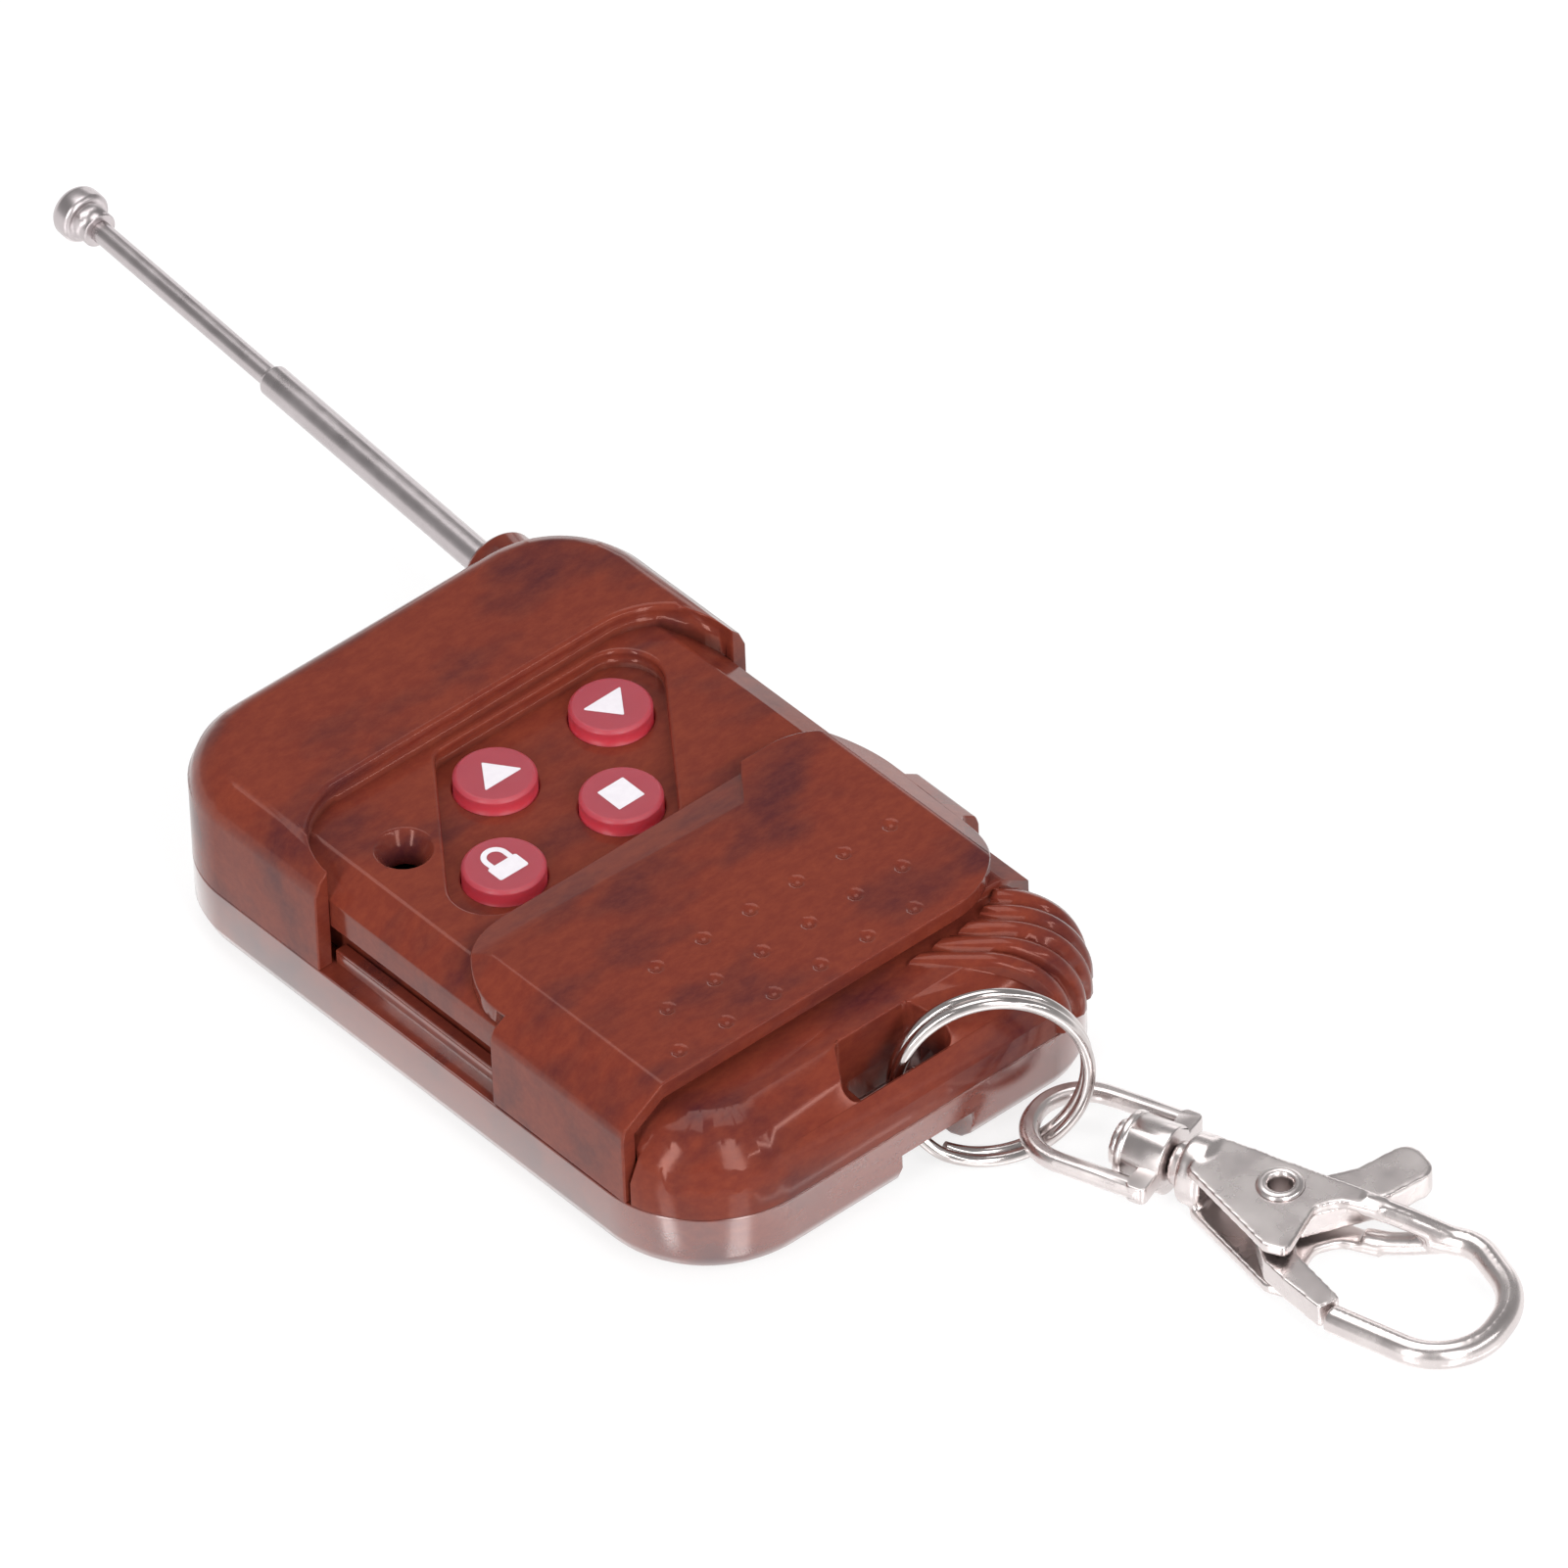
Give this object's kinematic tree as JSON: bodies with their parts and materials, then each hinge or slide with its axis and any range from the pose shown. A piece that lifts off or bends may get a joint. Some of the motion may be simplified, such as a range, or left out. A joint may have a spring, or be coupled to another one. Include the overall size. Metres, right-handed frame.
{
  "type": "garage door remote",
  "caption": "Key-ring garage door remote with a sliding cover over its round buttons, a telescopic aerial and a split ring with a swivel clasp.",
  "frame": {"origin": "centre of the case's flat back face", "axes": "+Z out through the buttons, +Y toward the aerial, +X to the right looking at the buttons with the aerial up"},
  "size_m": [0.045, 0.1514, 0.0149],
  "materials": {
    "case": "satin",
    "button": "gloss",
    "nickel": "polished",
    "steel": "satin",
    "board": "satin",
    "black": "matte",
    "ceramic": "matte",
    "sleeve": "gloss",
    "copper": "polished",
    "lamp": "gloss"
  },
  "bodies": {
    "housing": {"upper_shell": "case", "lower_shell": "case", "housing_screws": "steel", "circuit_board": "board", "switch_bases": "steel", "status_lamp": "lamp", "encoder_chip": "black", "rf_transistor": "black", "resonator": "steel", "chip_parts": "ceramic", "loading_coil": "copper", "battery_cell": "steel", "battery_sleeve": "sleeve", "battery_plate_negative": "nickel", "battery_plate_positive": "nickel", "battery_spring": "steel", "aerial_base": "copper", "aerial_clip": "nickel"},
    "slide_cover": {"slide_cover": "case"},
    "button_up": {"button_up_cap": "button", "button_up_plunger": "black"},
    "button_down": {"button_down_cap": "button", "button_down_plunger": "black"},
    "button_stop": {"button_stop_cap": "button", "button_stop_plunger": "black"},
    "button_lock": {"button_lock_cap": "button", "button_lock_plunger": "black"},
    "aerial_middle": {"aerial_middle": "nickel", "aerial_middle_shoe": "copper"},
    "aerial_tip": {"aerial_tip": "nickel", "aerial_tip_shoe": "copper", "aerial_knob": "nickel"},
    "split_ring": {"split_ring": "nickel"},
    "swivel_loop": {"swivel_loop": "nickel"},
    "clasp": {"clasp_body": "nickel", "clasp_rivet": "nickel"},
    "clasp_lever": {"clasp_lever": "nickel"}
  },
  "joints": [
    {"name": "cover_slide", "type": "slide", "parent": "housing", "child": "slide_cover", "axis": [0, 1, 0], "range_m": [0, 0.0168]},
    {"name": "press_up", "type": "slide", "parent": "housing", "child": "button_up", "axis": [0, 0, -1], "range_m": [0, 0.0004], "stiffness_N_per_m": 300, "springref_m": -0.0002},
    {"name": "press_down", "type": "slide", "parent": "housing", "child": "button_down", "axis": [0, 0, -1], "range_m": [0, 0.0004], "stiffness_N_per_m": 300, "springref_m": -0.0002},
    {"name": "press_stop", "type": "slide", "parent": "housing", "child": "button_stop", "axis": [0, 0, -1], "range_m": [0, 0.0004], "stiffness_N_per_m": 300, "springref_m": -0.0002},
    {"name": "press_lock", "type": "slide", "parent": "housing", "child": "button_lock", "axis": [0, 0, -1], "range_m": [0, 0.0004], "stiffness_N_per_m": 300, "springref_m": -0.0002},
    {"name": "aerial_middle_slide", "type": "slide", "parent": "housing", "child": "aerial_middle", "axis": [0.0698, 0.9976, 0], "range_m": [-0.025, 0]},
    {"name": "aerial_tip_slide", "type": "slide", "parent": "aerial_middle", "child": "aerial_tip", "axis": [0.0698, 0.9976, 0], "range_m": [-0.0204, 0]},
    {"name": "ring_turn", "type": "hinge", "parent": "housing", "child": "split_ring", "pos_m": [0.00613, -0.03025, 0.00721], "axis": [-0.5279, -0.8448, 0.0872], "range_deg": [-30, 120]},
    {"name": "loop_swing", "type": "hinge", "parent": "split_ring", "child": "swivel_loop", "pos_m": [0.01007, -0.03318, 0.00265], "axis": [0.6132, -0.3081, 0.7274], "range_deg": [-60, 60]},
    {"name": "clasp_swivel", "type": "hinge", "parent": "swivel_loop", "child": "clasp", "pos_m": [0.01362, -0.04295, 0.00265], "axis": [0.342, -0.9397, 0], "continuous": true},
    {"name": "lever_open", "type": "hinge", "parent": "clasp", "child": "clasp_lever", "pos_m": [0.01501, -0.04968, 0.00265], "axis": [0, 0, 1], "range_deg": [0, 25], "stiffness_Nm_per_rad": 0.006, "springref_deg": -5.73}
  ]
}
